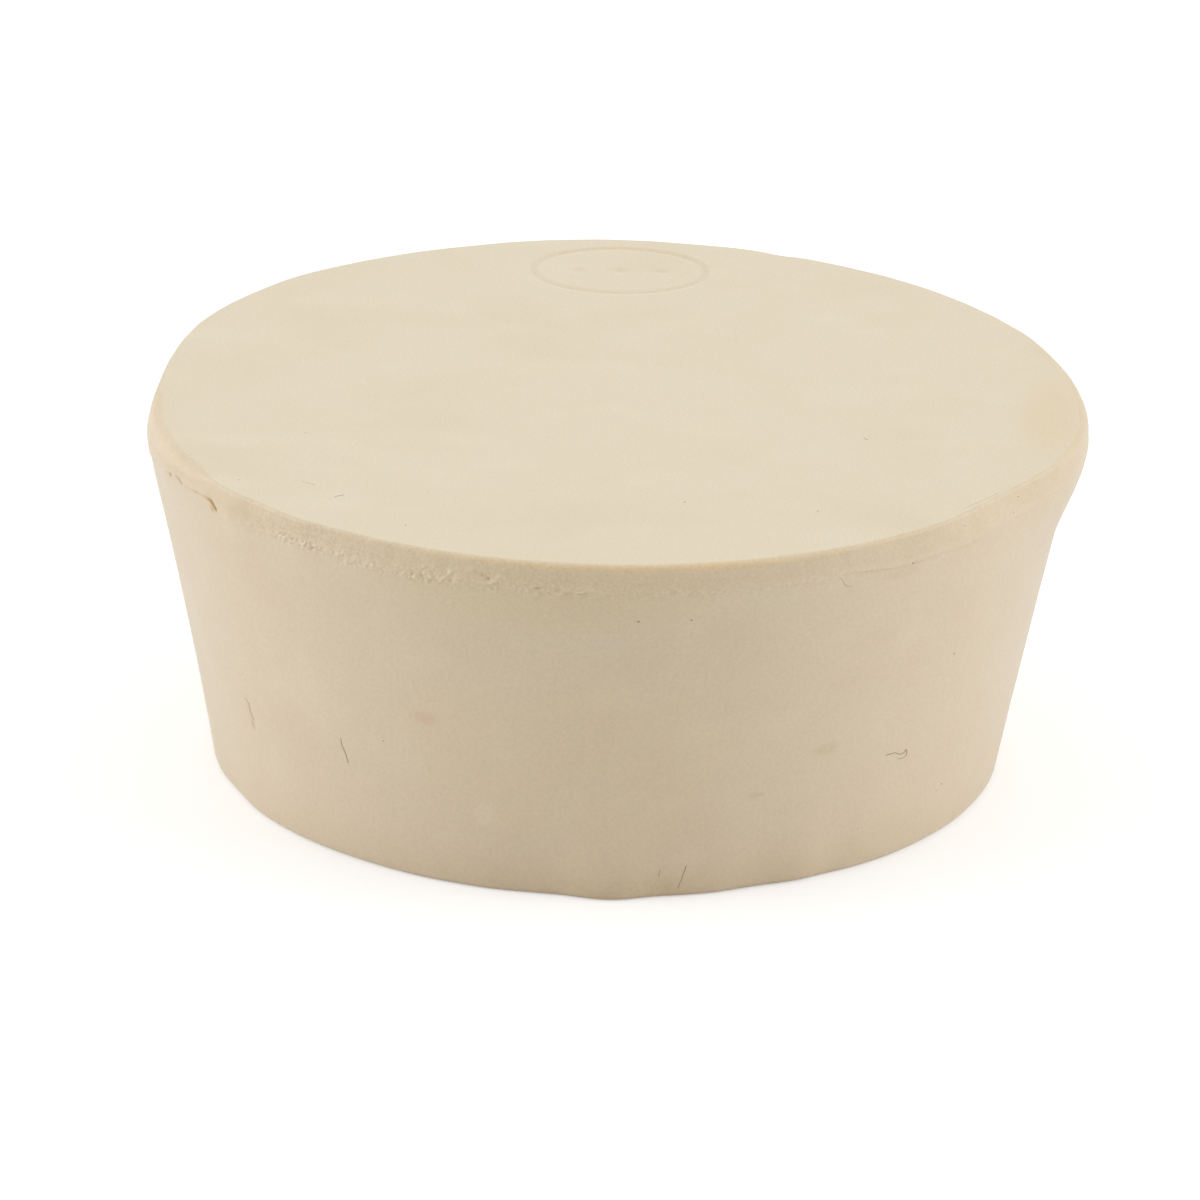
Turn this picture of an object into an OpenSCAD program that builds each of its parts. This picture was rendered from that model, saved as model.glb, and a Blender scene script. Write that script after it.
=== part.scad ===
// Solid tapered rubber stopper, moulded in one piece and standing on its small end.
// The origin is the middle of the small end's face, and +Z runs along the axis to the large end.

/* [Plug] */
// Diameter of the flat large end
large_d = 64; // [58:0.5:80]
// Diameter of the flat small end, measured to its sharp corner
small_d = 54.3; // [40:0.1:60]
// Height from the small end to the large end
height = 26; // [15:0.5:45]
// Radius on the edge of the small end
small_edge_r = 0.6; // [0.2:0.1:2]

/* [Trimmed band] */
// Height of the band that trimming left between the parting line and the large end
band_h = 2; // [1:0.1:4]
// How far the band leans in from the parting line to the large end
band_draft = 0.15; // [0:0.05:1]
// Radius on the edge of the large end
rim_edge_r = 0.25; // [0.1:0.05:0.6]
// How far the flash left on the parting line stands out
flash_out = 0.2; // [0.1:0.05:0.6]
// Height of the flash left on the parting line
flash_h = 0.5; // [0.2:0.1:1]

/* [Lip] */
// How far the lip stands out past the rest of the rim
lip_out = 0.9; // [0.3:0.1:2]
// Direction of the lip's middle, anticlockwise from +X
lip_angle = 352; // [0:1:359]
// Angle that the lip takes up around the rim
lip_spread = 44; // [24:1:80]
// Height of the lip's wall between the flare and the parting line
lip_wall_h = 0.7; // [0.6:0.1:4]
// Height over which the side flares out to the lip's wall
lip_flare_h = 5.1; // [2:0.1:6]

/* [Knife flats] */
// Depth of the deep flat at the large end, where the knife ran in too far
flat_depth = 0.85; // [0.3:0.05:2]
// Direction that the deep flat faces, anticlockwise from +X
flat_angle = 172; // [0:1:359]
// Depth of the two shallow flats at the large end
shallow_flat_depth = 0.3; // [0.1:0.05:0.6]
// Direction that the first shallow flat faces
first_shallow_angle = 299; // [0:1:359]
// Direction that the second shallow flat faces
second_shallow_angle = 322; // [0:1:359]

/* [Hidden] */
$fn = 180;

rubber_colour = [0.89, 0.84, 0.74];

// Radii of the sharp corners that the straight lines of the section run to
small_r = small_d / 2;
large_r = large_d / 2;
parting_r = large_r + band_draft;

// Height of the parting line, and of the two ends of the flash on it
parting_z = height - band_h;
flash_low_z = parting_z - flash_h / 2;
flash_high_z = parting_z + flash_h / 2;

// Angles of the side and of the band from the axis
side_lean = atan((parting_r - small_r) / parting_z);
band_lean = atan(band_draft / band_h);

// Seen from above, the lip fades into the rim along a smaller circle that is set off the axis. It
// crosses the rim's circle at the two ends of the lip and would pass the lip by lip_overrun.
lip_overrun = 0.5;
lip_reach = parting_r + lip_out + lip_overrun;
lip_shift = (pow(lip_reach, 2) - pow(parting_r, 2))
    / (2 * (lip_reach - parting_r * cos(lip_spread / 2)));
lip_wall_z = parting_z - lip_wall_h;
lip_low_z = lip_wall_z - lip_flare_h;
// How far inside the side the flare starts, so that it comes out of the side at a clear angle
lip_sink = 0.3;
flare_steps = 8;
edge_steps = 6;

// Radius of the side and of the band at height z
function side_r(z) = small_r + z * tan(side_lean);
function band_r(z) = parting_r - (z - parting_z) * tan(band_lean);

// Points of an edge's rounding, about the centre [r, z], from one angle to another
function rounding(centre, edge_r, from, to) = [
    for (i = [0 : edge_steps])
        let (a = from + (to - from) * i / edge_steps)
            centre + edge_r * [cos(a), sin(a)]
];

// The rounding between the small end and the side
function small_edge() =
    let (inset = small_edge_r * tan(45 - side_lean / 2))
        rounding([small_r - inset, small_edge_r], small_edge_r, -90, -side_lean);

// The flash, the band and the rim's rounding, standing out by the given amount
function rim(out) =
    let (inset = rim_edge_r * tan(45 - band_lean / 2))
        concat(
            [
                [out + parting_r + flash_out, parting_z],
                [out + band_r(flash_high_z), flash_high_z]
            ],
            rounding([out + large_r - inset, height - rim_edge_r], rim_edge_r, band_lean, 90)
        );

// Eased rise from 0 to 1
function eased(u) = u * u * (3 - 2 * u);

// The lip's flare from inside the side up to its wall
function flare() = [
    for (i = [0 : flare_steps])
        let (u = i / flare_steps, z = lip_low_z + u * lip_flare_h)
            [side_r(z) + lip_out * eased(u) - lip_sink * (1 - u), z]
];

// The plug: small end, tapered side, flash and trimmed band
module plug() {
    rotate_extrude()
        polygon(concat(
            [[0, 0]],
            small_edge(),
            [[side_r(flash_low_z), flash_low_z]],
            rim(0),
            [[0, height]]
        ));
}

// The lip: the same rim standing further out, with a wall and a flare under it
module lip() {
    intersection() {
        rotate_extrude()
            polygon(concat(
                [[0, lip_low_z]],
                flare(),
                [[side_r(flash_low_z) + lip_out, flash_low_z]],
                rim(lip_out),
                [[0, height]]
            ));
        rotate([0, 0, lip_angle])
            translate([lip_shift, 0, 0])
                cylinder(h = height + band_h, r = lip_reach - lip_shift);
    }
}

// A stroke of the knife that cuts a flat: it leans in from the parting line to the large end
module knife_stroke(angle, depth) {
    knife_lean = atan(depth / band_h);
    rotate([0, 0, angle])
        translate([large_r, 0, parting_z])
            rotate([0, -knife_lean, 0])
                translate([0, -large_r, -band_h])
                    cube([large_r, large_d, 3 * band_h]);
}

module stopper() {
    color(rubber_colour)
        difference() {
            union() {
                plug();
                lip();
            }
            knife_stroke(flat_angle, flat_depth);
            knife_stroke(first_shallow_angle, shallow_flat_depth);
            knife_stroke(second_shallow_angle, shallow_flat_depth);
        }
}

stopper();
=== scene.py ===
"""Solid tapered rubber stopper: its looks, built around its CAD solid in the same frame.

The moulded body is one mesh that stands for the CAD node. Shape functions give the radius and the
height of its surface at every azimuth, in millimetres: azimuth 0 is +X, 90 is +Y, and the front of
the stopper faces -Y, at 270.
"""
import math

import bpy
from mathutils import Matrix, Vector, noise
from mathutils.geometry import delaunay_2d_cdt


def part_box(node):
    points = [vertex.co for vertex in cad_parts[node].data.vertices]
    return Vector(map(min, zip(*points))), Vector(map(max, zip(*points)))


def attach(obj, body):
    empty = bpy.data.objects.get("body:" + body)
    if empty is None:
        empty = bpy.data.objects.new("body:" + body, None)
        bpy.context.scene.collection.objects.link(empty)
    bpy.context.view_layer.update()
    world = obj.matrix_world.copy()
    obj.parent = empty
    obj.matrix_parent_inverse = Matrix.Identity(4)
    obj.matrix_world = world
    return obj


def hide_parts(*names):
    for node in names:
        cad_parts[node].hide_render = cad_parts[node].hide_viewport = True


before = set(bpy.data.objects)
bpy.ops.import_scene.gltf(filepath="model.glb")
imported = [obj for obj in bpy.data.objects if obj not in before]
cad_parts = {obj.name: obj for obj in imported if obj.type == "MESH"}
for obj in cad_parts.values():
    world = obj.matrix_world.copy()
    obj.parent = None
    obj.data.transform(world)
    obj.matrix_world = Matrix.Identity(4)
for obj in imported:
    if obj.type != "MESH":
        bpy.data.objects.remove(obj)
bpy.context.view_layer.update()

MM = 0.001

# ---------------------------------------------------------------- sizes of the body, in millimetres
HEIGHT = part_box("stopper")[1].z / MM
SMALL_R = 27.15
RIM_R = 32.12
PARTING_R = 32.15
BAND_H = 2.0
FOOT_EDGE_R = 0.55
RIM_EDGE_R = 0.24
# The large end lies this far below the CAD solid's, so that lint on it stays inside the solid's box
TOP_SINK = 0.03

# Places where the rim leaves its true circle: azimuth, half width in degrees, amount outwards
RIM_BUMPS = (
    (11, 9, 0.1),
    (27, 5, 0.12),
    (68, 4, -0.25),
    (88, 8, 0.12),
    (97, 10, 0.18),
    (132, 16, 0.2),
    (218, 4, 0.18),
    (229, 6, 0.18),
    (326.5, 14, -0.34),
)
# The front of the large end is trimmed back: from and to azimuth, ease at both ends, depth
TRIM_FROM, TRIM_TO, TRIM_EASE, TRIM_DEPTH = 212, 340, 14, 0.13
# Places where the small end leaves its true circle, in the same form
FOOT_BUMPS = ((201, 9, -0.15), (260, 8, -0.1), (271, 8, 0.55), (293, 8, -0.24), (304, 6, -0.12))
# The flat where the knife ran in: azimuth, half width towards the back and towards the front, depth
FLAT_AT, FLAT_BACK, FLAT_FRONT, FLAT_DEPTH = 174, 28, 20, 1.0
# The lip: azimuth, half width, how far it stands out at the parting line and at the rim
LIP_AT, LIP_HALF, LIP_OUT, LIP_RIM_OUT = 354, 25, 0.74, 0.7
# The side flares out to the lip between these two depths below the parting line
LIP_FLARE_LOW, LIP_FLARE_HIGH = 5.8, 0.7
# Places where the rim's edge is rounder than elsewhere: azimuth, half width, extra radius
SOFT_EDGES = (
    (188, 14, 0.9),
    (200, 12, 0.9),
    (208, 6, 0.4),
    (250, 16, 0.14),
    (266, 16, 0.14),
    (282, 16, 0.14),
    (298, 16, 0.12),
    (356, 24, 0.6),
)
# Places where the rounding of the rim's edge meets the large end in a crease: azimuth, half width,
# angle in radians
CREASES = ((200, 18, 0.25), (342, 26, 0.35))
# The side is hollow by this much at half height, and by more on the left
SIDE_HOLLOW, LEFT_HOLLOW, LEFT_AT, LEFT_HALF = 0.07, 0.12, 188, 50
# Heights over which the small end's bumps and the parting line's own shape fade into the side
FOOT_BLEND, PARTING_BLEND = 9, 3
# The share of the rim's bumps, trim and flat that the parting line below it follows
PARTING_FOLLOWS = 0.4
# Slight waves: length, amount outwards or upwards, layer of the noise
RIM_WAVES = ((14, 0.05, 0.5), (2.5, 0.03, 3.5))
PARTING_WAVES = ((6, 0.12, 1.5), (1.2, 0.05, 2.5))
FOOT_WAVES = ((6, 0.04, 7.5),)
SIDE_WAVES = ((12, 0.035, 1), (3, 0.012, 2))
# How far the rough band's own waves reach into the rim
ROUGH_RIM = 0.07
# Places where the parting line runs off its level: azimuth, half width, amount upwards
PARTING_SHIFTS = (
    (192, 5, -0.5),
    (209, 12, 0.35),
    (230, 14, 0.3),
    (308, 9, -0.34),
    (318, 7, -0.2),
    (342, 7, -0.2),
)
# Torn flash on the parting line: azimuth, half width, strength
TEARS = (
    (221, 4.5, 0.08),
    (227.5, 4.0, 0.3),
    (231.5, 2.5, 0.3),
    (236.5, 2.5, 0.4),
    (247.5, 3.5, 0.6),
    (251.5, 2.5, 0.2),
    (256, 2.5, 0.4),
    (265, 8, 0.35),
    (279, 7, 0.25),
    (291, 6, 0.15),
)
# Crumbs and pits of the torn flash: azimuth, height, half length, half height, slope, outwards
CRUMBS = (
    (216.4, 25.85, 0.8, 0.09, 0, 0.05),
    (223.9, 24.4, 0.35, 0.15, -0.3, -0.02),
    (226.2, 24.43, 0.14, 0.11, 0, 0.1),
    (226.75, 24.5, 0.12, 0.09, 0, -0.09),
    (228.4, 24.78, 0.12, 0.08, 0, 0.04),
    (228.7, 24.43, 0.16, 0.1, -0.2, -0.09),
    (230.15, 24.48, 0.13, 0.09, 0, 0.1),
    (230.5, 24.46, 0.07, 0.06, 0, -0.08),
    (230.8, 24.38, 0.1, 0.08, 0, 0.1),
    (231.15, 24.46, 0.07, 0.06, 0, -0.08),
    (231.5, 24.39, 0.11, 0.09, 0, 0.12),
    (231.9, 24.2, 0.15, 0.07, 0.2, -0.1),
    (232.5, 24.33, 0.35, 0.06, 0.35, -0.06),
    (232.4, 25.75, 0.5, 0.24, -0.25, 0.06),
    (235.5, 24.36, 0.24, 0.05, -0.1, -0.07),
    (236.7, 24.2, 0.18, 0.08, -0.3, -0.08),
    (237.8, 24.5, 0.14, 0.08, 0.4, -0.05),
    (239.1, 25.8, 0.25, 0.16, 0, 0.045),
    (240.6, 24.1, 0.16, 0.08, 0, 0.06),
    (246.5, 25.3, 0.12, 0.08, 0, 0.05),
    (247.5, 24.8, 0.12, 0.1, 0.5, 0.06),
    (248.8, 24.85, 0.12, 0.1, 0.5, 0.06),
    (250.0, 24.2, 0.2, 0.08, 0.5, 0.09),
    (250.8, 24.62, 0.13, 0.18, 0.8, 0.1),
    (252.0, 24.6, 0.1, 0.07, 0, 0.04),
    (254.0, 24.93, 0.14, 0.07, 0, -0.08),
    (255.0, 24.72, 0.3, 0.16, -0.5, -0.08),
    (255.6, 24.5, 0.14, 0.1, 0, -0.12),
    (256.2, 24.35, 0.25, 0.07, 0.5, 0.1),
    (256.9, 24.75, 0.22, 0.07, 0.3, 0.09),
    (257.6, 24.62, 0.2, 0.06, -0.4, 0.05),
    (261.7, 24.16, 0.22, 0.06, 0, -0.09),
    (266.6, 24.02, 0.4, 0.05, 0, 0.07),
    (266.9, 23.93, 0.4, 0.04, 0, -0.05),
    (273.1, 24.88, 0.15, 0.08, 0, 0.05),
    (273.8, 24.6, 0.25, 0.06, -0.1, -0.04),
)
# The crack near the parting line: azimuth and height of its bends, its depth and half width
CRACK_PATH = (
    (199.9, 24.0),
    (201.6, 24.13),
    (203.3, 24.43),
    (204.7, 24.39),
    (205.9, 24.16),
    (207.6, 24.3),
    (209.6, 24.44),
    (211.8, 24.51),
    (213.3, 24.47),
    (213.9, 24.2),
    (214.4, 24.05),
)
CRACK_DEPTH, CRACK_HALF = 0.13, 0.06
# It wanders up and down by this much, and is at least this open
CRACK_WANDER, CRACK_LEAST = 0.04, 0.05
# Stretches where the crack is open and dark: azimuth, half width, share
CRACK_OPEN = ((201.6, 0.6, 0.9), (204.7, 1.6, 0.9), (209, 1.2, 0.3), (211.8, 1, 0.5), (213.4, 1.4, 1))
# The pits at the crack's ends, in the form of the crumbs
PITS = (
    (201.6, 24.13, 0.16, 0.09, 0, -0.1),
    (213.5, 24.38, 0.3, 0.17, -0.75, -0.1),
    (214.2, 24.1, 0.2, 0.14, -0.5, -0.1),
)
# Ochre stains at the crack, in the same form with a share in place of the amount outwards
OCHRE_DABS = (
    (201.6, 24.1, 0.22, 0.14, 0, 0.5),
    (212.6, 24.52, 0.3, 0.2, 0, 1.0),
    (213.4, 23.95, 0.3, 0.24, 0, 1.0),
    (213.5, 24.3, 0.5, 0.34, -0.5, 0.8),
)
# The trimmed band is rough around the front: azimuth, half width, share
ROUGH_BAND = ((232, 22, 0.9), (254, 22, 0.7), (276, 22, 0.5), (298, 22, 0.35))
# The parting line is a thin groove here, in the same form
OPEN_LINE = ((303.5, 7, 1.0), (311.5, 4.5, 0.5), (326, 8, 0.25))
# Widths in millimetres across the parting line: its groove, its open stretches, the torn flash
LINE_WIDTH, OPEN_WIDTH, TORN_WIDTH = 0.12, 0.06, 0.42
# The thin ledge of flash above the groove: how far up its middle is, and its width
LEDGE_UP, LEDGE_WIDTH = 0.22, 0.2
# How deep or far out these and the scuffs around them are
GROOVE_DEPTH, OPEN_DEPTH, LEDGE_OUT, SCUFF_OUT = 0.04, 0.05, 0.04, 0.04
# How far the torn flash stands out, and how much that varies
TORN_OUT, TORN_VARIES = 0.03, 0.2

# The band and the foot are tan, by these shares
BAND_TINT, FOOT_TINT = 0.35, 0.28
# More or less tan than that, as azimuth, half width, share: the band, the side under it, the foot
TAN_BAND = ((201, 12, 0.45), (224, 14, 0.45), (272, 40, 0.12), (292, 20, 0.15))
TAN_SIDE_TOP = ((320, 12, 0.22), (262, 30, 0.08))
TAN_FOOT = ((208, 36, -0.12), (266, 36, 0.18))
# Painted shade: the lowest edge of the foot is darker here, where it meets the floor, in the same form
PAINTED_FOOT_SHADE = ((275, 18, 0.5),)
# The band is paler where its edge is round, in the same form, by this share at most
PALE_BAND, PALE_BAND_MOST = ((192, 26, 1.3),), 0.35
# The band's tan starts this far below the parting line
BAND_TINT_DOWN = 0.2
# The extra tan's middle above the parting line on the band, or below it on the side, and its width
TAN_BAND_UP, TAN_BAND_WIDTH = 0.4, 0.6
TAN_SIDE_DOWN, TAN_SIDE_WIDTH = 0.3, 1.3
# Heights over which the foot's tan and the painted shade at its lowest edge fade
TAN_FOOT_H, PAINTED_FOOT_SHADE_H = 4, 2.2
# A warm strip runs along the top of the band here, in the same form
WARM_STRIP = ((256, 24, 0.33), (280, 24, 0.6), (285, 6, 0.2), (302, 14, 0.25))
# It lies this far below the large end, and is this wide
STRIP_DOWN, STRIP_WIDTH = 0.22, 0.3


# ---------------------------------------------------------------- small shape helpers


def turn_between(a, b):
    """Signed angle in degrees from b to a, between -180 and 180."""
    return (a - b + 180) % 360 - 180


def hump(distance, half_width):
    """Smooth hump: 1 at distance 0, falling to 0 at the half width."""
    u = abs(distance) / half_width
    return math.cos(u * math.pi / 2) ** 2 if u < 1 else 0.0


def bell(distance, width):
    """Smooth bell: 1 at distance 0, and 0.37 at the width."""
    return math.exp(-((distance / width) ** 2))


def eased(u):
    """Smooth rise from 0 to 1."""
    u = min(max(u, 0.0), 1.0)
    return u * u * (3 - 2 * u)


def humps(azimuth, places):
    """Sum of the humps in a list of (azimuth, half width, amount)."""
    return sum(amount * hump(turn_between(azimuth, at), half) for at, half, amount in places)


def ring_noise(azimuth, length, layer):
    """Noise that closes on itself around the rim, with features of about the given length."""
    a = math.radians(azimuth)
    turns = RIM_R / length
    return noise.noise(Vector((turns * math.cos(a), turns * math.sin(a), layer)))


def ring_waves(azimuth, waves):
    """Sum of the waves in a list of (length, amount, layer)."""
    return sum(amount * ring_noise(azimuth, length, layer) for length, amount, layer in waves)


def surface_noise(azimuth, z, length, layer):
    """Noise over the side, with features of about the given length."""
    a = math.radians(azimuth)
    x, y = RIM_R * math.cos(a) / length, RIM_R * math.sin(a) / length
    return noise.noise(Vector((x, y + 7.3 * layer, z / length)))


# ---------------------------------------------------------------- the body's outline


def band_roughness(azimuth):
    """How rough the trimmed band is."""
    return 0.1 + 0.9 * min(1.0, humps(azimuth, ROUGH_BAND))


def foot_radius(azimuth):
    """Radius of the small end's sharp corner."""
    return SMALL_R + humps(azimuth, FOOT_BUMPS) + ring_waves(azimuth, FOOT_WAVES)


def lip_share(azimuth):
    """How much of the lip there is: 1 at its middle, 0 beside it."""
    return hump(turn_between(azimuth, LIP_AT), LIP_HALF)


def trim(azimuth):
    """How far the front of the large end is trimmed back."""
    inside = min(azimuth % 360 - TRIM_FROM, TRIM_TO - azimuth % 360)
    return TRIM_DEPTH * eased(inside / TRIM_EASE)


def flat_depth(azimuth):
    """How deep the flat is."""
    off = turn_between(azimuth, FLAT_AT)
    return FLAT_DEPTH * hump(off, FLAT_FRONT if off > 0 else FLAT_BACK)


def rim_radius(azimuth):
    """Radius of the large end's sharp corner."""
    waves = ring_waves(azimuth, RIM_WAVES)
    waves += ROUGH_RIM * band_roughness(azimuth) * ring_noise(azimuth, 0.9, 12.5)
    lip = LIP_RIM_OUT * lip_share(azimuth)
    return RIM_R + humps(azimuth, RIM_BUMPS) + lip - trim(azimuth) - flat_depth(azimuth) + waves


def rim_edge(azimuth):
    """Radius of the rounding on the rim's corner."""
    return RIM_EDGE_R * (1 + 0.4 * ring_noise(azimuth, 3, 9.5)) + humps(azimuth, SOFT_EDGES)


def parting_height(azimuth):
    """Height of the parting line."""
    level = HEIGHT - BAND_H + humps(azimuth, PARTING_SHIFTS)
    return level + ring_waves(azimuth, PARTING_WAVES)


def parting_radius(azimuth):
    """Radius at the parting line, without the lip."""
    own_shape = humps(azimuth, RIM_BUMPS) - trim(azimuth) - flat_depth(azimuth)
    return PARTING_R + PARTING_FOLLOWS * own_shape


def side_radius(azimuth, z, parting_z):
    """Radius of the tapered side, with the flare up to the lip."""
    taper = SMALL_R + (PARTING_R - SMALL_R) * z / (HEIGHT - BAND_H)
    taper += (foot_radius(azimuth) - SMALL_R) * (1 - eased(z / FOOT_BLEND))
    hollow = SIDE_HOLLOW + LEFT_HOLLOW * hump(turn_between(azimuth, LEFT_AT), LEFT_HALF)
    taper -= hollow * math.sin(math.pi * min(max(z / (HEIGHT - BAND_H), 0), 1))
    depth = parting_z - z
    flare = 1 - eased((depth - LIP_FLARE_HIGH) / (LIP_FLARE_LOW - LIP_FLARE_HIGH))
    blend = 1 - eased(depth / PARTING_BLEND)
    level = parting_radius(azimuth) - PARTING_R
    waves = sum(amount * surface_noise(azimuth, z, length, n) for length, amount, n in SIDE_WAVES)
    return taper + LIP_OUT * lip_share(azimuth) * flare + blend * level + waves


def band_radius(azimuth, z, parting_z):
    """Radius of the band between the parting line and the rim's sharp corner."""
    foot = parting_radius(azimuth) + LIP_OUT * lip_share(azimuth)
    return foot + (rim_radius(azimuth) - foot) * (z - parting_z) / (HEIGHT - TOP_SINK - parting_z)


def skin_radius(azimuth, z, parting_z):
    """Radius of the side below the parting line, and of the band above it."""
    return (side_radius if z < parting_z else band_radius)(azimuth, z, parting_z)


def torn_noise(azimuth, z):
    """Fine noise that the torn flash and its colour share."""
    return surface_noise(azimuth, z, 0.32, 3) + 0.7 * surface_noise(azimuth, z, 0.19, 4)


def slanted_blobs(azimuth, z, blobs):
    """Sum of small ragged blobs: azimuth, height, half length, half height, slope, amount."""
    total = 0.0
    for at, height, half_length, half_height, slope, amount in blobs:
        along = math.radians(turn_between(azimuth, at)) * RIM_R
        if abs(along) < 3 * half_length:
            up = z - height - slope * along
            total += amount * bell(along, half_length) * bell(up, half_height)
    if total:
        total *= min(max(0.85 + 1.1 * surface_noise(azimuth, z, 0.25, 8), 0.3), 1.3)
    return total


def crack_line(azimuth, z, half_width):
    """How open the crack is at a point: 1 at most, and 0 away from its path."""
    for (start, low), (end, high) in zip(CRACK_PATH, CRACK_PATH[1:]):
        if start <= azimuth < end:
            height = low + (high - low) * (azimuth - start) / (end - start)
            up = z - height - CRACK_WANDER * ring_noise(azimuth, 0.35, 11.5)
            broken = 0.1 + humps(azimuth, CRACK_OPEN) + 0.5 * ring_noise(azimuth, 0.5, 5.5)
            return min(max(broken, CRACK_LEAST), 1.0) * bell(up, half_width)
    return 0.0


def parting_relief(azimuth, offset, z):
    """Outward relief of the flash, the tears and the crack at a height above the parting line."""
    near = bell(offset, TORN_WIDTH)
    presence = 0.3 + 0.3 * ring_noise(azimuth, 5, 4.5)
    rough = torn_noise(azimuth, z)
    groove = GROOVE_DEPTH * presence * bell(offset, LINE_WIDTH)
    groove += OPEN_DEPTH * humps(azimuth, OPEN_LINE) * bell(offset, OPEN_WIDTH)
    flash = LEDGE_OUT * presence * bell(offset - LEDGE_UP, LEDGE_WIDTH)
    lumps = humps(azimuth, TEARS) * near * (TORN_OUT + TORN_VARIES * rough)
    scuffs = SCUFF_OUT * near * rough * band_roughness(azimuth)
    crumbs = slanted_blobs(azimuth, z, CRUMBS + PITS)
    crack = CRACK_DEPTH * crack_line(azimuth, z, CRACK_HALF)
    return flash - groove + lumps + scuffs + crumbs - crack


# ---------------------------------------------------------------- rows and columns of the body


def columns():
    """Azimuths of the columns, closest together where the parting line is torn."""
    # From, to, spacing along the rim in millimetres
    stretches = (
        (0, 188, 0.42),
        (188, 198, 0.2),
        (198, 240, 0.09),
        (240, 262, 0.11),
        (262, 300, 0.16),
        (300, 345, 0.26),
        (345, 360, 0.35),
    )
    out = []
    for start, end, spacing in stretches:
        count = round(math.radians(end - start) * RIM_R / spacing)
        out += [start + (end - start) * i / count for i in range(count)]
    return out


# Rings on the small end, as shares of its flat radius
FOOT_RINGS = (0.3, 0.6, 0.8, 0.93)
FOOT_EDGE_STEPS = 5
# The side's rows start at this height
SIDE_LOW = 1.0
SIDE_ROWS = 24
# Rows around the parting line, as heights above it
PARTING_OFFSETS = (
    -1.3, -0.95, -0.72, -0.58, -0.47, -0.38, -0.3, -0.23, -0.16, -0.1, -0.05,
    0, 0.05, 0.1, 0.16, 0.23, 0.3, 0.38, 0.47, 0.57, 0.68,
)
BAND_ROWS = 9
RIM_EDGE_STEPS = 8
# The last row lies this far inside the rounding, and keeps a crease narrow
CREASE_WIDTH = 0.05


def profile(azimuth):
    """Radius and height of each row of the body at one azimuth, from the small end to the rim."""
    side_lean = math.atan((PARTING_R - SMALL_R) / (HEIGHT - BAND_H))
    parting_z = parting_height(azimuth)
    rows = []

    foot_edge = FOOT_EDGE_R * (1 + 0.25 * ring_noise(azimuth, 5, 8.5))
    inset = foot_edge * math.tan(math.pi / 4 - side_lean / 2)
    foot_r = foot_radius(azimuth)
    rows += [((foot_r - inset) * share, 0.0) for share in FOOT_RINGS]
    for i in range(FOOT_EDGE_STEPS + 1):
        a = -math.pi / 2 + (math.pi / 2 - side_lean) * i / FOOT_EDGE_STEPS
        r = foot_r - inset + foot_edge * math.cos(a)
        rows.append((r, foot_edge * (1 + math.sin(a))))

    low, high = SIDE_LOW, parting_z + PARTING_OFFSETS[0]
    for i in range(SIDE_ROWS):
        z = low + (high - low) * i / SIDE_ROWS
        rows.append((side_radius(azimuth, z, parting_z), z))

    corner_r, edge = rim_radius(azimuth), rim_edge(azimuth)
    top_z = HEIGHT - TOP_SINK
    band_foot = band_radius(azimuth, parting_z, parting_z)
    band_lean = math.atan((band_foot - corner_r) / (top_z - parting_z))
    for offset in PARTING_OFFSETS:
        z = parting_z + offset
        rows.append((skin_radius(azimuth, z, parting_z) + parting_relief(azimuth, offset, z), z))

    rim_inset = edge * math.tan(math.pi / 4 - band_lean / 2)
    band_low = parting_z + PARTING_OFFSETS[-1]
    band_high = top_z - edge * (1 - math.sin(band_lean))
    for i in range(1, BAND_ROWS + 1):
        share = i / (BAND_ROWS + 1)
        z = band_low + (band_high - band_low) * share
        pits = 0.015 * surface_noise(azimuth, z, 0.8, 6) + slanted_blobs(azimuth, z, CRUMBS)
        pits += 0.04 * band_roughness(azimuth) * (1 - share) * surface_noise(azimuth, z, 0.3, 7)
        rows.append((band_radius(azimuth, z, parting_z) + pits, z))
    end = math.pi / 2 - humps(azimuth, CREASES)
    stretch = (1 - math.sin(band_lean)) / (math.sin(end) - math.sin(band_lean))
    for i in range(RIM_EDGE_STEPS + 1):
        a = band_lean + (end - band_lean) * i / RIM_EDGE_STEPS
        down = edge * stretch * (math.sin(end) - math.sin(a))
        rows.append((corner_r - rim_inset + edge * math.cos(a), top_z - down))
    rows.append((rows[-1][0] - CREASE_WIDTH, top_z))
    return rows


# ---------------------------------------------------------------- the large end


# A plain moulded oval with three pips, pressed into the large end near its back edge
MARK_AT = (0.4, 25.6)
MARK_HALF = (6.1, 4.6)
MARK_LINE = 0.24
MARK_DEPTH = 0.09
PIP_SPACING = 2.9
PIP_R = 0.55
# Spacing of the points under the mark, and of the rings elsewhere: the first ring's inset, the steps
# inwards and the spacing along a ring, each with its growth for each millimetre inwards
MARK_MESH = 0.16
RING_FIRST = 0.35
RING_STEP, STEP_GROWTH = 0.5, 0.17
RING_SPACING, SPACING_GROWTH = 0.8, 0.22


def mark_share(x, y):
    """1 on the lines and pips of the moulded mark, 0 away from them."""
    u, v = x - MARK_AT[0], y - MARK_AT[1]
    reach = math.hypot(u / MARK_HALF[0], v / MARK_HALF[1])
    slope = math.hypot(u / MARK_HALF[0] ** 2, v / MARK_HALF[1] ** 2) / max(reach, 1e-6)
    to_line = abs(reach - 1) / max(slope, 1e-6)
    share = hump(to_line, 2 * MARK_LINE)
    for k in (-1, 0, 1):
        share = max(share, hump(math.hypot(u - k * PIP_SPACING, v), 1.6 * PIP_R))
    return share


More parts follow.
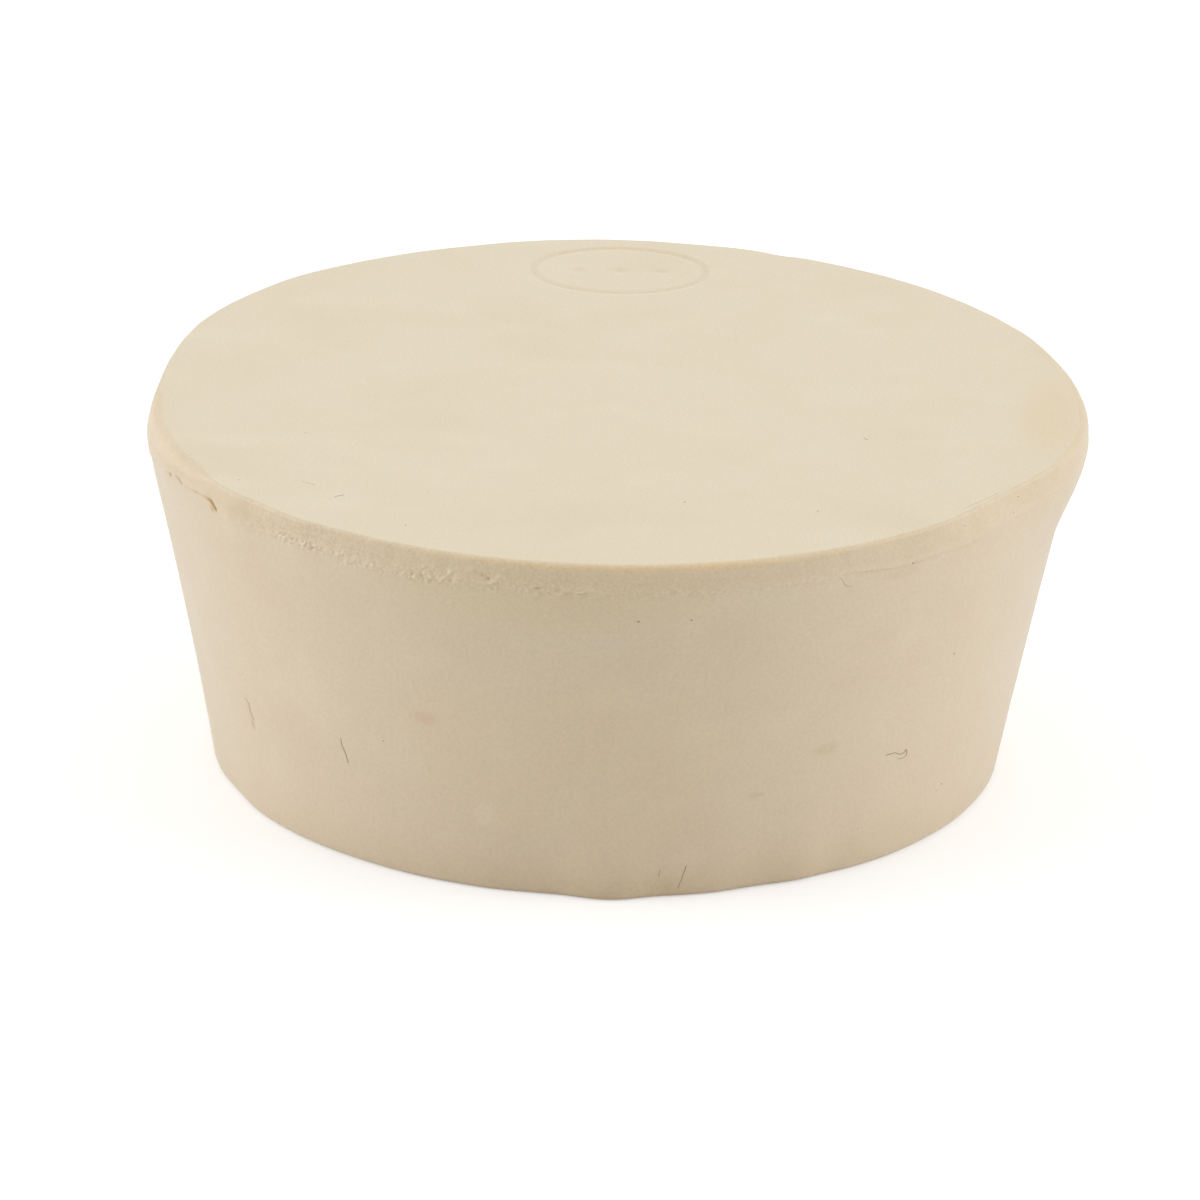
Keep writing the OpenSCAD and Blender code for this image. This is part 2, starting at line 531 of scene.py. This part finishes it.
def large_end_points():
    """Points inside the large end: rings that widen inwards, and a fine patch under the mark."""
    half_x, half_y = MARK_HALF[0] + 1, MARK_HALF[1] + 1

    def in_patch(x, y):
        return abs(x - MARK_AT[0]) < half_x and abs(y - MARK_AT[1]) < half_y

    points = []
    inset, ring = RING_FIRST, 0
    while inset < RIM_R - 2:
        spacing = RING_SPACING + SPACING_GROWTH * inset
        count = max(12, round(2 * math.pi * (RIM_R - inset) / spacing))
        for i in range(count):
            azimuth = 360 * (i + 0.5 * (ring % 2)) / count
            r = rim_radius(azimuth) - rim_edge(azimuth) - inset
            x, y = r * math.cos(math.radians(azimuth)), r * math.sin(math.radians(azimuth))
            if not in_patch(x, y):
                points.append((x, y))
        inset += RING_STEP + STEP_GROWTH * inset
        ring += 1
    points.append((0.0, 0.0))

    for i in range(int(2 * half_x / MARK_MESH)):
        for j in range(int(2 * half_y / MARK_MESH)):
            x = MARK_AT[0] - half_x + (i + 0.5 * (j % 2)) * MARK_MESH
            y = MARK_AT[1] - half_y + j * MARK_MESH
            azimuth = math.degrees(math.atan2(y, x))
            if math.hypot(x, y) < rim_radius(azimuth) - rim_edge(azimuth) - 0.3:
                points.append((x, y))
    return points


# ---------------------------------------------------------------- the body's mesh


# A crumb this high is fully pale, partly paler torn rubber and partly a painted highlight; crumbs are
# coloured up to CRUMB_TOP above the parting line, and the colour fades over the next CRUMB_FADE
CRUMB_FULL, CRUMB_TOP, CRUMB_FADE = 0.12, 0.9, 0.4
# Strengths of the pale scuffs, partly painted highlights on raised lumps; of the darkening: stains at
# the crack and the dabs, darker along the open groove, and painted shade in the pits, the hollow
# crumbs and the torn hollows; and of the mark's tint
PALE_TORN_AND_HIGHLIGHT = 0.7
DARK_CRACK, DARK_LINE, DARK_DAB, PIT_SHADE, HOLLOW_CRUMB_SHADE, TORN_HOLLOW_SHADE = 0.65, 0.15, 0.25, 5, 3.5, 0.4
MARK_TINT = 0.2
# A point is on the large end if it lies less than TOP_SKIN below it, or is as deep as the mark and
# far inside the rim
TOP_SKIN, MARK_REACH, FAR_INSIDE = 0.01, 1, 3
# Below the parting line, stains and scuffs end at the first distance and roughness at the second
WORN_DOWN, ROUGH_DOWN = 1.5, 1.2


def tint_and_shade_at(azimuth, z, offset):
    """How tan the side and the band are at a point, with painted shade at the lowest edge of the foot.
    """
    pale = PALE_BAND_MOST * min(1.0, humps(azimuth, PALE_BAND))
    tint = BAND_TINT * eased(offset + BAND_TINT_DOWN) * (1 - pale)
    tint += humps(azimuth, TAN_BAND) * bell(offset - TAN_BAND_UP, TAN_BAND_WIDTH)
    tint += humps(azimuth, TAN_SIDE_TOP) * bell(offset + TAN_SIDE_DOWN, TAN_SIDE_WIDTH)
    tint += (FOOT_TINT + humps(azimuth, TAN_FOOT)) * (1 - eased(z / TAN_FOOT_H))
    # Painted shade at the foot's lowest edge, near the floor
    return tint + humps(azimuth, PAINTED_FOOT_SHADE) * (1 - eased(z / PAINTED_FOOT_SHADE_H))


def wear_and_painted_light_at(x, y, z):
    """Tan tint with painted shade at the foot, dark stain with painted shade in pits and hollows, pale
    scuff with painted highlights on raised lumps, and warm tint at a point, each from 0 to 1.
    """
    azimuth = math.degrees(math.atan2(y, x)) % 360
    offset = z - parting_height(azimuth)
    below_rim = HEIGHT - TOP_SINK - z
    inside = math.hypot(x, y) < RIM_R - FAR_INSIDE
    if below_rim < TOP_SKIN or below_rim < MARK_REACH and inside:
        return (mark_share(x, y) * MARK_TINT, 0.0, 0.0, 0.0)
    tint = tint_and_shade_at(azimuth, z, offset)
    if offset < -WORN_DOWN:
        return (tint, 0.0, 0.0, 0.0)
    strip = bell(below_rim - STRIP_DOWN, STRIP_WIDTH) * humps(azimuth, WARM_STRIP)
    dabs = slanted_blobs(azimuth, z, OCHRE_DABS)

    torn = humps(azimuth, TEARS) * bell(offset, TORN_WIDTH)
    rough = torn_noise(azimuth, z)
    crumbs = slanted_blobs(azimuth, z, CRUMBS) * (1 - eased((offset - CRUMB_TOP) / CRUMB_FADE))
    pits = slanted_blobs(azimuth, z, PITS)
    # Pale on raised crumbs and torn lumps: partly paler torn rubber, partly a painted highlight
    pale = PALE_TORN_AND_HIGHLIGHT * torn * max(0.0, rough) + max(0.0, crumbs) / CRUMB_FULL
    stain_and_shade = DARK_CRACK * crack_line(azimuth, z, 1.6 * CRACK_HALF) + DARK_DAB * dabs
    # Darker along the open groove
    stain_and_shade += DARK_LINE * bell(offset, 0.1) * humps(azimuth, OPEN_LINE)
    # Painted shade in the pits, the hollow crumbs and the hollows of the torn flash
    stain_and_shade += PIT_SHADE * max(0.0, -pits) + HOLLOW_CRUMB_SHADE * max(0.0, -crumbs)
    stain_and_shade += TORN_HOLLOW_SHADE * torn * max(0.0, -0.1 - rough)
    return tuple(min(max(v, 0.0), 1.0) for v in (tint, stain_and_shade, pale, strip + dabs))


def rough_share(x, y, z):
    """How mottled and grainy the surface is at a point, from 0 to 1."""
    azimuth = math.degrees(math.atan2(y, x)) % 360
    offset = z - parting_height(azimuth)
    if z > HEIGHT - TOP_SINK - 0.02 or offset < -ROUGH_DOWN:
        return 0.0
    spread = eased((offset + 0.9) / 0.8) * (0.6 + 0.4 * bell(offset, 0.7))
    return spread * band_roughness(azimuth)


def write_wear_and_painted_light(mesh):
    """Write the wear, its painted shade and highlights, and the roughness of every point into the mesh
    for the material.
    """
    mesh.color_attributes.new("wear_and_painted_light", "FLOAT_COLOR", "POINT")
    mesh.attributes.new("rough", "FLOAT", "POINT")
    wear_and_painted_light, grain = mesh.attributes["wear_and_painted_light"].data, mesh.attributes["rough"].data
    for vertex, cell, share in zip(mesh.vertices, wear_and_painted_light, grain):
        x, y, z = vertex.co / MM
        cell.color = wear_and_painted_light_at(x, y, z)
        share.value = rough_share(x, y, z)


def add_object(name, data):
    """A new object in the scene."""
    made = bpy.data.objects.new(name, data)
    bpy.context.scene.collection.objects.link(made)
    return made


def close_large_end(verts, faces, rim_base, count):
    """Add the flat large end inside the rim, whose points start at rim_base, with the mark in it."""
    rim_points = [verts[rim_base + i][:2] for i in range(count)]
    flat = [Vector(p) for p in rim_points + large_end_points()]
    edges = [(i, (i + 1) % count) for i in range(count)]
    made, _, made_faces, origins, _, _ = delaunay_2d_cdt(flat, edges, [], 1, 1e-7)
    index = {}
    for k, (point, sources) in enumerate(zip(made, origins)):
        rim_source = [s for s in sources if s < count]
        if rim_source:
            index[k] = rim_base + rim_source[0]
        else:
            index[k] = len(verts)
            dip = MARK_DEPTH * mark_share(point.x, point.y)
            verts.append((point.x, point.y, HEIGHT - TOP_SINK - dip))
    for face in made_faces:
        faces.append(tuple(index[k] for k in face))


def build_body():
    azimuths = columns()
    count = len(azimuths)
    profiles = [profile(a) for a in azimuths]
    rows = len(profiles[0])

    verts = [(0.0, 0.0, 0.0)]
    for row in range(rows):
        for azimuth, outline in zip(azimuths, profiles):
            r, z = outline[row]
            a = math.radians(azimuth)
            verts.append((r * math.cos(a), r * math.sin(a), z))

    faces = [(0, 1 + (i + 1) % count, 1 + i) for i in range(count)]
    for row in range(rows - 1):
        base = 1 + row * count
        for i in range(count):
            j = (i + 1) % count
            faces.append((base + i, base + j, base + count + j, base + count + i))
    close_large_end(verts, faces, 1 + (rows - 1) * count, count)

    mesh = bpy.data.meshes.new("stopper_body")
    mesh.from_pydata([(x * MM, y * MM, z * MM) for x, y, z in verts], [], faces)
    write_wear_and_painted_light(mesh)
    for polygon in mesh.polygons:
        polygon.use_smooth = True
    return add_object("stopper_body", mesh)


# ---------------------------------------------------------------- materials


def add_node(tree, kind, settings=None, **inputs):
    """A node with its settings and inputs. An input is named, or numbered as _0, _1 and so on."""
    made = tree.nodes.new(kind)
    for name, value in (settings or {}).items():
        setattr(made, name, value)
    for name, value in inputs.items():
        feed(tree, made.inputs[int(name[1:]) if name[1:].isdigit() else name.replace("_", " ")], value)
    return made


def feed(tree, socket, value):
    """Link the socket to another one, or set its value."""
    if isinstance(value, bpy.types.NodeSocket):
        tree.links.new(value, socket)
    else:
        socket.default_value = value


def blend_colour(tree, share, first, second, mode="MIX"):
    """Colour socket that goes from first to second as share goes from 0 to 1."""
    settings = {"data_type": "RGBA", "blend_type": mode}
    return add_node(tree, "ShaderNodeMix", settings, _0=share, _6=first, _7=second).outputs[2]


def calc(tree, operation, a, b=0.0):
    """Socket with the result of an operation on two values or sockets."""
    return add_node(tree, "ShaderNodeMath", {"operation": operation}, _0=a, _1=b).outputs[0]


def ramp(tree, value, low, high, to_low=0.0, to_high=1.0):
    """Value mapped from low..high to to_low..to_high, and held there beyond."""
    settings = {"interpolation_type": "SMOOTHSTEP"}
    numbers = {"_0": value, "_1": low, "_2": high, "_3": to_low, "_4": to_high}
    return add_node(tree, "ShaderNodeMapRange", settings, **numbers).outputs[0]


def pattern(tree, places, length, detail=2.0, stretch=(1, 1, 1)):
    """Noise from 0 to 1 with features of about the given length in millimetres."""
    scale = tuple(1 / (length * MM * s) for s in stretch)
    moved = add_node(tree, "ShaderNodeMapping", None, Vector=places, Scale=scale).outputs[0]
    return add_node(tree, "ShaderNodeTexNoise", None, Vector=moved, Scale=1.0, Detail=detail).outputs[0]


def new_material(name):
    """A material with its node tree, and the tree's shader."""
    material = bpy.data.materials.new(name)
    material.use_nodes = True
    return material, material.node_tree, material.node_tree.nodes["Principled BSDF"]


def cream(red, green, blue):
    """Linear colour from the sRGB numbers that a picture shows, 0 to 255."""
    return tuple(((c / 255 + 0.055) / 1.055) ** 2.4 for c in (red, green, blue)) + (1,)


# The large end is a little paler than the side: partly its own tone, partly painted light for how
# brightly the top catches the light
TOP_CREAM_AND_LIGHT = cream(219, 205, 177)
SIDE_CREAM = cream(218, 201, 174)
BAND_TAN = cream(206, 182, 146)
WARM_TAN = cream(228, 199, 153)
WARM_CREAM = cream(217, 194, 154)
DARK_OLIVE = cream(152, 124, 78)
# Pale cream for the pale clouds and scuffs, also the painted highlight on raised crumbs and lumps
PALE_CREAM_AND_HIGHLIGHT = cream(242, 231, 203)

# Soft stains on the side: azimuth, height, half width along the rim, half height, colour, strength
STAINS = (
    (266, 11, 20, 12, cream(222, 201, 160), 0.2),
    (262, 23.4, 18, 3.6, cream(214, 194, 142), 0.25),
    (246, 12.85, 1.3, 0.75, cream(217, 190, 163), 0.9),
    (300.5, 10.4, 1.4, 0.7, cream(188, 170, 120), 0.25),
    (212.6, 8.6, 0.5, 1.6, cream(214, 184, 154), 0.4),
    (213.0, 7.5, 0.35, 0.6, cream(196, 168, 118), 0.6),
    (308, 23.2, 2.0, 0.5, cream(214, 184, 150), 0.3),
    (343.8, 3.1, 1.0, 0.9, cream(228, 192, 152), 0.5),
    (291, 7.6, 0.9, 0.3, cream(196, 178, 150), 0.35),
    (253.7, 6.0, 1.2, 1.3, cream(228, 214, 190), 0.35),
)
# Warm tints on the large end near its rim: azimuth, radius, half width along and across, strength
RIM_TINTS = ((184, 32.1, 6.5, 2.6, 0.35), (356, 30.3, 11, 3.2, 0.55))

# Lengths of the rubber's patterns in millimetres: tan and pale clouds, patches in the tan tint and
# its painted foot shade, fine grain, the band's mottling, changes of the gloss, and shallow dimples
CLOUDS, PALE_CLOUDS, PATCHES, GRAIN, MOTTLE, GLOSS, DIMPLES = 9, 5, 1.5, 0.22, 0.2, 4, 1.1
# The most that the clouds change the colour, and the shades that grain and mottling give
CLOUD_SHARE, PALE_CLOUD_SHARE = 0.16, 0.12
GRAIN_LOW, GRAIN_HIGH = 0.96, 1.04
MOTTLE_LOW, MOTTLE_HIGH = -0.1, 0.075
ROUGHNESS_LOW, ROUGHNESS_HIGH = 0.53, 0.59
SHEEN, SHEEN_ROUGHNESS = 0.35, 0.4
BUMP_STRENGTH, BUMP_HEIGHT = 0.35, 0.03


def stain_share(tree, places, centre, azimuth, halves):
    """1 in the middle of a soft ellipsoid and 0 outside it; its axes are radial, tangent and Z."""
    spin = (0, 0, math.radians(azimuth))
    turned = add_node(
        tree,
        "ShaderNodeMapping",
        {"vector_type": "TEXTURE"},
        Vector=places,
        Location=centre,
        Rotation=spin,
        Scale=halves,
    ).outputs[0]
    settings = {"gradient_type": "SPHERICAL"}
    return add_node(tree, "ShaderNodeTexGradient", settings, Vector=turned).outputs[1]


def spot(azimuth, r, z):
    """The place in metres at an azimuth, a radius and a height in millimetres."""
    a = math.radians(azimuth)
    return (r * math.cos(a) * MM, r * math.sin(a) * MM, z * MM)


def add_stains(tree, places, colour):
    """Colour socket with the soft stains and the rim's warm tints over the given colour."""
    for azimuth, z, along, tall, tint, strength in STAINS:
        r = SMALL_R + (PARTING_R - SMALL_R) * z / (HEIGHT - BAND_H)
        halves = ((2 + along / 4) * MM, along * MM, tall * MM)
        share = stain_share(tree, places, spot(azimuth, r, z), azimuth, halves)
        colour = blend_colour(tree, ramp(tree, share, 0.0, 0.7, 0, strength), colour, tint)
    for azimuth, r, along, across, strength in RIM_TINTS:
        halves = (across * MM, along * MM, 1.5 * MM)
        share = stain_share(tree, places, spot(azimuth, r, HEIGHT), azimuth, halves)
        colour = blend_colour(tree, ramp(tree, share, 0.0, 0.8, 0, strength), colour, WARM_CREAM)
    return colour


def rubber_material():
    material, tree, shader = new_material("cream_rubber")
    places = add_node(tree, "ShaderNodeTexCoord").outputs["Object"]
    height = add_node(tree, "ShaderNodeSeparateXYZ", None, Vector=places).outputs[2]
    wear_and_painted_light = add_node(tree, "ShaderNodeAttribute", {"attribute_name": "wear_and_painted_light"}).outputs
    tan, dark, pale = add_node(tree, "ShaderNodeSeparateColor", None, Color=wear_and_painted_light["Color"]).outputs
    rough = add_node(tree, "ShaderNodeAttribute", {"attribute_name": "rough"}).outputs["Fac"]

    # The large end is paler than the side, partly as painted light
    on_top = ramp(tree, height, (HEIGHT - 0.25) * MM, (HEIGHT - 0.05) * MM)
    colour = blend_colour(tree, on_top, SIDE_CREAM, TOP_CREAM_AND_LIGHT)
    clouds = pattern(tree, places, CLOUDS, 3, (1, 1, 0.7))
    colour = blend_colour(tree, ramp(tree, clouds, 0.45, 0.75, 0, CLOUD_SHARE), colour, BAND_TAN)
    paler = pattern(tree, places, PALE_CLOUDS, 4, (1.3, 0.8, 1))
    colour = blend_colour(tree, ramp(tree, paler, 0.5, 0.8, 0, PALE_CLOUD_SHARE), colour, PALE_CREAM_AND_HIGHLIGHT)

    patchy = ramp(tree, pattern(tree, places, PATCHES, 3), 0.3, 0.7, 0.6, 1)
    # The tan tint of the band and the foot, with painted shade at the foot's lowest edge
    colour = blend_colour(tree, calc(tree, "MULTIPLY", tan, patchy), colour, BAND_TAN)
    colour = blend_colour(tree, wear_and_painted_light["Alpha"], colour, WARM_TAN)
    colour = add_stains(tree, places, colour)
    # Pale scuffs, with painted highlights on the raised crumbs and torn lumps
    colour = blend_colour(tree, pale, colour, PALE_CREAM_AND_HIGHLIGHT)
    # Dark stains at the crack and the dabs, darker along the open groove, and painted shade in pits and
    # hollows
    colour = blend_colour(tree, dark, colour, DARK_OLIVE)

    mottle = pattern(tree, places, MOTTLE, 3)
    mottled = ramp(tree, mottle, 0.3, 0.7, MOTTLE_LOW, MOTTLE_HIGH)
    spread = calc(tree, "MULTIPLY", rough, mottled)
    grain = pattern(tree, places, GRAIN, 2)
    shade = calc(tree, "ADD", ramp(tree, grain, 0.2, 0.8, GRAIN_LOW, GRAIN_HIGH), spread)
    shades = add_node(tree, "ShaderNodeCombineColor", None, Red=shade, Green=shade, Blue=shade)
    colour = blend_colour(tree, 1.0, colour, shades.outputs[0], "MULTIPLY")
    tree.links.new(colour, shader.inputs["Base Color"])

    gloss = ramp(tree, pattern(tree, places, GLOSS, 3), 0.3, 0.7, ROUGHNESS_LOW, ROUGHNESS_HIGH)
    tree.links.new(gloss, shader.inputs["Roughness"])
    shader.inputs["Sheen Weight"].default_value = SHEEN
    shader.inputs["Sheen Roughness"].default_value = SHEEN_ROUGHNESS
    dimples = pattern(tree, places, DIMPLES, 3)
    relief = calc(tree, "ADD", calc(tree, "MULTIPLY", grain, 0.5), dimples)
    pitted = calc(tree, "MULTIPLY", calc(tree, "MULTIPLY", mottle, 2.5), rough)
    relief = calc(tree, "ADD", relief, pitted)
    strength, distance = BUMP_STRENGTH, BUMP_HEIGHT * MM
    bump = add_node(
        tree, "ShaderNodeBump", None, Strength=strength, Distance=distance, Height=relief
    )
    tree.links.new(bump.outputs[0], shader.inputs["Normal"])
    return material


# ---------------------------------------------------------------- lint and specks


# Fibres and specks on the large end: radius, then points x, y in millimetres
LINT_ON_TOP = (
    (0.03, ((-18.5, -20.35), (-18.3, -20.05), (-18.1, -19.95), (-17.85, -19.8))),
    (0.018, ((-20.8, -17.3), (-20.6, -17.6), (-20.3, -17.7), (-19.85, -18.15))),
    (0.028, ((17.25, -7.0), (17.35, -7.3), (17.55, -7.35))),
    (0.12, ((4.98, -19.97), (5.03, -19.9), (5.06, -19.83))),
    (0.08, ((13.93, -21.22), (13.98, -21.16), (14.02, -21.1))),
    (0.06, ((-25.06, -17.42), (-25.02, -17.38), (-24.98, -17.34))),
    (0.06, ((-20.86, -8.16), (-20.81, -8.13), (-20.76, -8.1))),
    (0.05, ((-13.66, -25.2), (-13.6, -25.22), (-13.54, -25.24))),
    (0.016, ((23.75, -20.15), (24.6, -19.2), (25.5, -18.0), (26.3, -17.0))),
)
# The same on the side, with points azimuth, z
LINT_ON_SIDE = (
    (0.025, ((232.15, 9.6), (232.1, 9.15), (232.4, 8.75), (232.75, 8.25), (232.9, 7.75))),
    (0.026, ((311.1, 8.6), (311.5, 8.65), (312.3, 8.6), (312.9, 8.6), (313.6, 8.35), (314.4, 8.3),
             (314.8, 8.4), (314.85, 8.6), (315.2, 8.4), (315.25, 8.05), (314.7, 7.9), (313.5, 8.0))),
    (0.019, ((211.9, 9.3), (212.8, 9.1), (212.8, 8.65), (213.1, 8.2), (213.5, 7.9))),
    (0.026, ((281.8, 2.5), (281.5, 1.9), (281.1, 1.2), (280.8, 0.7))),
    (0.015, ((278.1, 2.3), (277.9, 1.7))),
    (0.012, ((298.9, 23.9), (299.6, 23.3), (300.2, 23.05), (300.8, 23.1))),
    (0.04, ((239.2, 10.35), (239.3, 10.3))),
    (0.055, ((273.65, 21.92), (273.75, 21.88), (273.85, 21.84))),
    (0.04, ((280.05, 21.9), (280.15, 21.88), (280.25, 21.86))),
    (0.035, ((330.1, 25.3), (330.25, 25.25))),
    (0.03, ((328.8, 24.4), (328.9, 24.38))),
    (0.03, ((318.3, 25.2), (318.5, 25.15))),
    (0.03, ((309.3, 23.8), (309.6, 23.75))),
    (0.04, ((245.6, 23.7), (245.9, 23.68))),
    (0.03, ((321.0, 15.1), (321.15, 14.9))),
    (0.03, ((325.2, 4.3), (325.3, 4.2))),
    (0.026, ((324.3, 3.9), (324.4, 3.85))),
    (0.03, ((308.3, 3.3), (308.4, 3.25))),
)
LINT_SIDES = 6
# Fibres on the large end are sunk by the first at least, and stand out by the second at most
LINT_SUNK, LINT_PROUD = 0.01, 0.02
LINT_DARK = cream(136, 118, 92)
LINT_LIGHT = cream(172, 154, 126)
LINT_PATCHES = 1.3


def rounded_path(points):
    """The points with their corners cut twice, between the same two ends."""
    for _ in range(2):
        cut = [points[0]]
        for a, b in zip(points, points[1:]):
            cut += [a.lerp(b, 0.25), a.lerp(b, 0.75)]
        points = cut + [points[-1]]
    return points


def add_fibre(verts, faces, points, normal, radius):
    """Add a closed tube with pointed ends along the points to the lists."""
    base = len(verts)
    verts.append(points[0])
    for k in range(1, len(points) - 1):
        along = (points[k + 1] - points[k - 1]).normalized()
        across = along.cross(normal).normalized()
        up = across.cross(along)
        for i in range(LINT_SIDES):
            a = 2 * math.pi * i / LINT_SIDES
            verts.append(points[k] + radius * (math.cos(a) * across + math.sin(a) * up))
    verts.append(points[-1])
    last = len(verts) - 1
    rings = len(points) - 2
    for i in range(LINT_SIDES):
        j = (i + 1) % LINT_SIDES
        faces.append((base, base + 1 + i, base + 1 + j))
        for k in range(rings - 1):
            low, high = base + 1 + k * LINT_SIDES, base + 1 + (k + 1) * LINT_SIDES
            faces.append((low + i, high + i, high + j, low + j))
        end = base + 1 + (rings - 1) * LINT_SIDES
        faces.append((end + i, last, end + j))


def build_lint():
    verts, faces = [], []
    for radius, places in LINT_ON_TOP:
        z = HEIGHT - TOP_SINK - max(LINT_SUNK, radius - LINT_PROUD)
        points = rounded_path([Vector((x, y, z)) for x, y in places])
        add_fibre(verts, faces, points, Vector((0, 0, 1)), radius)
    for radius, places in LINT_ON_SIDE:
        points = []
        for azimuth, z in places:
            a, r = math.radians(azimuth), skin_radius(azimuth, z, parting_height(azimuth))
            points.append(Vector((r * math.cos(a), r * math.sin(a), z)))
        middle = math.radians(places[len(places) // 2][0])
        normal = Vector((math.cos(middle), math.sin(middle), 0))
        add_fibre(verts, faces, rounded_path(points), normal, radius)
    mesh = bpy.data.meshes.new("surface_lint")
    mesh.from_pydata([v * MM for v in verts], [], faces)
    return add_object("surface_lint", mesh)


def lint_material():
    material, tree, shader = new_material("lint")
    places = add_node(tree, "ShaderNodeTexCoord").outputs["Object"]
    share = ramp(tree, pattern(tree, places, LINT_PATCHES), 0.35, 0.65)
    colour = blend_colour(tree, share, LINT_DARK, LINT_LIGHT)
    tree.links.new(colour, shader.inputs["Base Color"])
    shader.inputs["Roughness"].default_value = 0.8
    return material


# ---------------------------------------------------------------- stage


FLOOR_HALF = 6.0
FLOOR_GREY = 0.75
# The floor's own light for the camera, under which only the shadow at the foot is less than white
FLOOR_GLOW = 0.4
WORLD_LEVEL = 0.49
# Lamps: name, place, size, watts
LAMPS = (
    ("lamp_top", (0, 0.25, 1.3), 1.4, 5.0),
    ("lamp_left", (-1.2, -0.35, 0.45), 0.9, 4.4),
    ("lamp_left_back", (-1.2, 0.15, 0.35), 0.9, 5.1),
    ("lamp_right", (1.2, -0.35, 0.45), 0.9, 4.4),
    ("lamp_right_back", (1.2, 0.15, 0.35), 0.9, 5.1),
)
LAMP_AIM = Vector((0, 0, 0.013))


def seen_directly(tree):
    """1 for camera, glossy and transmission rays, so that what they show of the stage is white."""
    path = add_node(tree, "ShaderNodeLightPath").outputs
    total = path["Is Camera Ray"]
    for name in ("Is Glossy Ray", "Is Transmission Ray"):
        total = calc(tree, "MAXIMUM", total, path[name])
    return total


def add_floor():
    half = FLOOR_HALF
    mesh = bpy.data.meshes.new("floor")
    corners = [(-half, -half, 0), (half, -half, 0), (half, half, 0), (-half, half, 0)]
    mesh.from_pydata(corners, [], [(0, 1, 2, 3)])
    material = bpy.data.materials.new("white_floor")
    material.use_nodes = True
    tree = material.node_tree
    tree.nodes.clear()
    grey = (FLOOR_GREY, FLOOR_GREY, FLOOR_GREY, 1)
    diffuse = add_node(tree, "ShaderNodeBsdfDiffuse", None, Color=grey).outputs[0]
    lift = calc(tree, "MULTIPLY", seen_directly(tree), FLOOR_GLOW)
    glow = add_node(tree, "ShaderNodeEmission", None, Strength=lift).outputs[0]
    both = add_node(tree, "ShaderNodeAddShader", None, _0=diffuse, _1=glow).outputs[0]
    add_node(tree, "ShaderNodeOutputMaterial", None, Surface=both)
    mesh.materials.append(material)
    add_object("floor", mesh)


def add_world():
    world = bpy.data.worlds.new("studio")
    bpy.context.scene.world = world
    world.use_nodes = True
    tree = world.node_tree
    background = tree.nodes["Background"]
    background.inputs["Color"].default_value = (1, 1, 1, 1)
    seen = seen_directly(tree)
    level = add_node(
        tree, "ShaderNodeMapRange", None, Value=seen, To_Min=WORLD_LEVEL, To_Max=1.0
    )
    tree.links.new(level.outputs["Result"], background.inputs["Strength"])


def add_lamp(name, place, size, watts):
    """A soft square lamp that faces the stopper."""
    light = bpy.data.lights.new(name, "AREA")
    light.shape = "SQUARE"
    light.size = size
    light.energy = watts
    lamp = add_object(name, light)
    lamp.location = place
    aim = LAMP_AIM - Vector(place)
    lamp.rotation_euler = aim.to_track_quat("-Z", "Y").to_euler()


# ---------------------------------------------------------------- camera


# Where the photo was taken from: metres back and up, turns in radians, lens and sensor in millimetres
CAMERA_BACK = 0.768
CAMERA_UP = 0.31254
CAMERA_PITCH = 0.37419
CAMERA_YAW = -0.0007
CAMERA_ROLL = 0.01924
CAMERA_LENS = 357.46
CAMERA_SENSOR = 36.0


def add_camera():
    data = bpy.data.cameras.new("camera")
    data.lens = CAMERA_LENS
    data.sensor_width = CAMERA_SENSOR
    data.sensor_fit = "HORIZONTAL"
    data.clip_end = 50
    camera = add_object("camera", data)
    aim = (
        Matrix.Rotation(-CAMERA_YAW, 4, "Z")
        @ Matrix.Rotation(math.pi / 2 - CAMERA_PITCH, 4, "X")
        @ Matrix.Rotation(CAMERA_ROLL, 4, "Z")
    )
    camera.matrix_world = Matrix.Translation((0, -CAMERA_BACK, CAMERA_UP)) @ aim
    bpy.context.scene.camera = camera


# ---------------------------------------------------------------- the scene

add_camera()
add_floor()
add_world()
for lamp_facts in LAMPS:
    add_lamp(*lamp_facts)
bpy.context.scene.view_settings.view_transform = "Standard"

body = build_body()
body.data.materials.append(rubber_material())
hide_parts("stopper")
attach(body, "root")

lint = build_lint()
lint.data.materials.append(lint_material())
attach(lint, "root")
